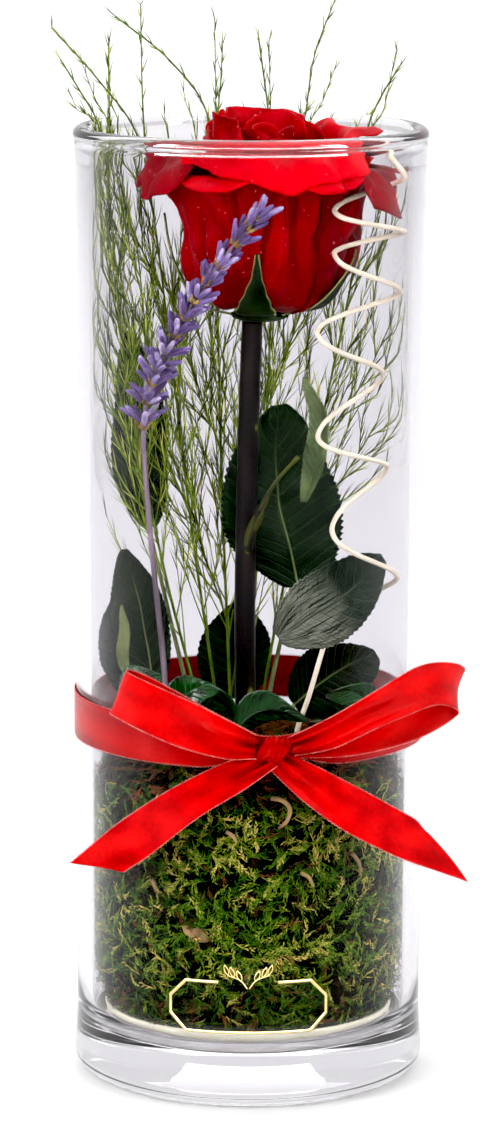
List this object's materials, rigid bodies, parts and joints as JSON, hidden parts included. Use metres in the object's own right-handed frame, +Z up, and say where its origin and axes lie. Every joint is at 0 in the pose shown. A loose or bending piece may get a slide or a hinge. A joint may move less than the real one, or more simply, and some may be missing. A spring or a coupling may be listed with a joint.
{
  "type": "preserved rose in glass vase",
  "caption": "Preserved red rose with fern, lavender, leaves and a curly stick on moss in a tall glass cylinder vase, tied with a satin bow.",
  "frame": {"origin": "centre of the vase's flat underside, which rests on the table", "axes": "+Z up along the vase's axis; -Y towards the front, the side with the bow and the label; +X to the right seen from the front"},
  "size_m": [0.1299, 0.1259, 0.3382],
  "materials": {
    "glass": "clear, polished",
    "foil": "clear foil with a gold line",
    "moss": "dry moss",
    "pad": "pale foam",
    "bark": "dark smooth bark",
    "calyx": "dull",
    "petals": "velvety",
    "leaf": "dull with pale veins",
    "glossy_leaf": "glossy",
    "fern": "fine needles",
    "lavender": "downy",
    "peeled_stick": "peeled and pale",
    "satin": "satin"
  },
  "bodies": {
    "root": {"glass_vase": "glass", "label": "foil", "moss_cushion": "moss", "base_pad": "pad", "rose_stem": "bark", "rose_calyx": "calyx", "petal_01": "petals", "petal_02": "petals", "petal_03": "petals", "petal_04": "petals", "petal_05": "petals", "petal_06": "petals", "petal_07": "petals", "petal_08": "petals", "petal_09": "petals", "petal_10": "petals", "petal_11": "petals", "petal_12": "petals", "petal_13": "petals", "petal_14": "petals", "petal_15": "petals", "petal_16": "petals", "petal_17": "petals", "petal_18": "petals", "petal_19": "petals", "petal_20": "petals", "petal_21": "petals", "petal_22": "petals", "petal_23": "petals", "petal_24": "petals", "petal_25": "petals", "leaf_behind_stem": "leaf", "leaf_right": "leaf", "leaf_tall_left": "leaf", "leaf_low_left": "leaf", "leaf_far_left": "leaf", "leaf_back_low": "leaf", "leaf_right_low": "leaf", "leaf_shoot": "leaf", "small_leaf_left": "glossy_leaf", "small_leaf_mid_left": "glossy_leaf", "small_leaf_front": "glossy_leaf", "small_leaf_right": "glossy_leaf", "small_leaf_back": "glossy_leaf", "fern_left_outer": "fern", "fern_left_inner": "fern", "fern_back_left": "fern", "fern_back_right": "fern", "fern_right": "fern", "lavender": "lavender", "curly_stick": "peeled_stick", "ribbon_band": "satin", "ribbon_knot": "satin", "ribbon_loop_left": "satin", "ribbon_loop_right": "satin", "ribbon_tail_left": "satin", "ribbon_tail_right": "satin"}
  },
  "joints": []
}
